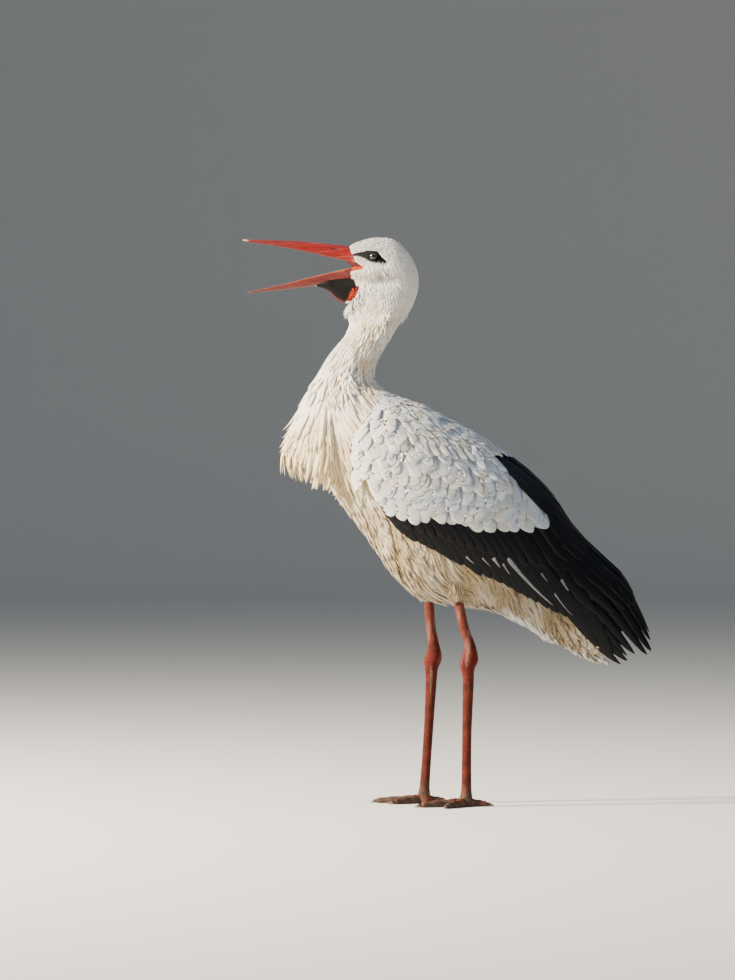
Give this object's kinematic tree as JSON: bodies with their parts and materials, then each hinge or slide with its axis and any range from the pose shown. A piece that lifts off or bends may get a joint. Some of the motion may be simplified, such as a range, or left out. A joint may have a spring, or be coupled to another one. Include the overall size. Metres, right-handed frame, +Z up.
{
  "type": "white stork model",
  "caption": "Life-size still model of a standing white stork with its bill open, its neck raised and its wings folded.",
  "frame": {"origin": "on the floor, under the middle of the model's bounding box", "axes": "the bird faces -Y, its left side is +X, and +Z is up"},
  "size_m": [0.22, 0.6592, 0.9079],
  "materials": {
    "white_plumage": "soft matte white feathers",
    "cream_plumage": "long cream breast plumes",
    "black_plumage": "black flight feathers with a slight sheen",
    "bill_horn": "smooth red horn sheath",
    "throat_skin": "bare dark skin",
    "leg_skin": "red scaled skin",
    "claw_horn": "dark horn",
    "eye": "wet dark eye"
  },
  "bodies": {
    "root": {"head": "white_plumage", "bill_upper": "bill_horn", "bill_lower": "bill_horn", "throat": "throat_skin", "eye_left": "eye", "eye_right": "eye", "neck_upper": "white_plumage", "neck_middle": "white_plumage", "neck_lower": "white_plumage", "breast_plumes": "cream_plumage", "trunk": "white_plumage", "tail": "white_plumage", "mantle": "white_plumage", "wing_coverts_left": "white_plumage", "wing_tertials_left": "black_plumage", "wing_secondaries_left": "black_plumage", "wing_primaries_left": "black_plumage", "wing_coverts_right": "white_plumage", "wing_tertials_right": "black_plumage", "wing_secondaries_right": "black_plumage", "wing_primaries_right": "black_plumage", "thigh_left": "white_plumage", "shank_left": "leg_skin", "heel_left": "leg_skin", "tarsus_left": "leg_skin", "foot_left": "leg_skin", "toe_middle_left": "leg_skin", "claw_middle_left": "claw_horn", "toe_inner_left": "leg_skin", "claw_inner_left": "claw_horn", "toe_outer_left": "leg_skin", "claw_outer_left": "claw_horn", "toe_hind_left": "leg_skin", "claw_hind_left": "claw_horn", "thigh_right": "white_plumage", "shank_right": "leg_skin", "heel_right": "leg_skin", "tarsus_right": "leg_skin", "foot_right": "leg_skin", "toe_middle_right": "leg_skin", "claw_middle_right": "claw_horn", "toe_inner_right": "leg_skin", "claw_inner_right": "claw_horn", "toe_outer_right": "leg_skin", "claw_outer_right": "claw_horn", "toe_hind_right": "leg_skin", "claw_hind_right": "claw_horn"}
  },
  "joints": []
}
